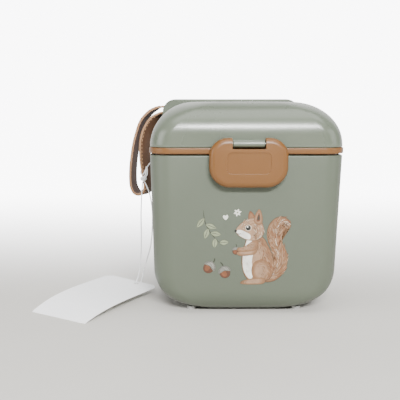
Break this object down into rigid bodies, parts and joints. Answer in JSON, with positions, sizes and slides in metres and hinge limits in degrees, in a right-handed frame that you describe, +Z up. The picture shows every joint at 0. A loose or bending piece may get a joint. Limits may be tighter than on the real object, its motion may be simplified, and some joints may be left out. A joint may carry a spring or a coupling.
{
  "type": "formula_dispenser",
  "caption": "Portable formula powder box with hinged dome lid, front latch, wrist strap, scoop and string-tied swing tag",
  "frame": {"origin": "centre of the flat underside of the body shell", "axes": "+Z up, front with the latch faces -Y, strap on the -X side"},
  "size_m": [0.1962, 0.1107, 0.1357],
  "materials": {
    "sage_body": "satin",
    "sage_lid": "satin",
    "tan_plastic": "satin",
    "strap_leather": "matte",
    "milky_plastic": "satin",
    "silicone": "matte",
    "foot_rubber": "matte",
    "pin_steel": "brushed",
    "white_string": "matte",
    "tag_card": "matte"
  },
  "bodies": {
    "body": {"body_shell": "sage_body", "foot_front_left": "foot_rubber", "foot_front_right": "foot_rubber", "foot_rear_left": "foot_rubber", "foot_rear_right": "foot_rubber", "leveller_bar": "milky_plastic", "hinge_pin": "pin_steel"},
    "lid": {"lid_shell": "sage_lid", "lid_ring": "tan_plastic", "lid_seal": "silicone", "rear_block": "sage_lid", "block_screw_left": "pin_steel", "block_screw_right": "pin_steel", "latch_pin": "pin_steel", "strap_pin": "pin_steel", "scoop_clip": "tan_plastic"},
    "latch": {"latch": "tan_plastic"},
    "strap": {"wrist_strap": "strap_leather", "string_loop": "white_string", "tag_string": "white_string", "string_knot": "white_string", "swing_tag": "tag_card"},
    "scoop": {"scoop": "milky_plastic"}
  },
  "joints": [
    {"name": "lid_hinge", "type": "hinge", "parent": "body", "child": "lid", "pos_m": [0, 0.048, 0.1023], "axis": [-1, 0, 0], "range_deg": [0, 105]},
    {"name": "latch_hinge", "type": "hinge", "parent": "lid", "child": "latch", "pos_m": [0, -0.0482, 0.107], "axis": [-1, 0, 0], "range_deg": [0, 95]},
    {"name": "strap_swing", "type": "hinge", "parent": "lid", "child": "strap", "pos_m": [-0.0514, 0.038, 0.1274], "axis": [0, 1, 0], "range_deg": [0, 95]},
    {"name": "scoop_release", "type": "slide", "parent": "lid", "child": "scoop", "axis": [0, 0, -1], "range_m": [0, 0.03]}
  ]
}
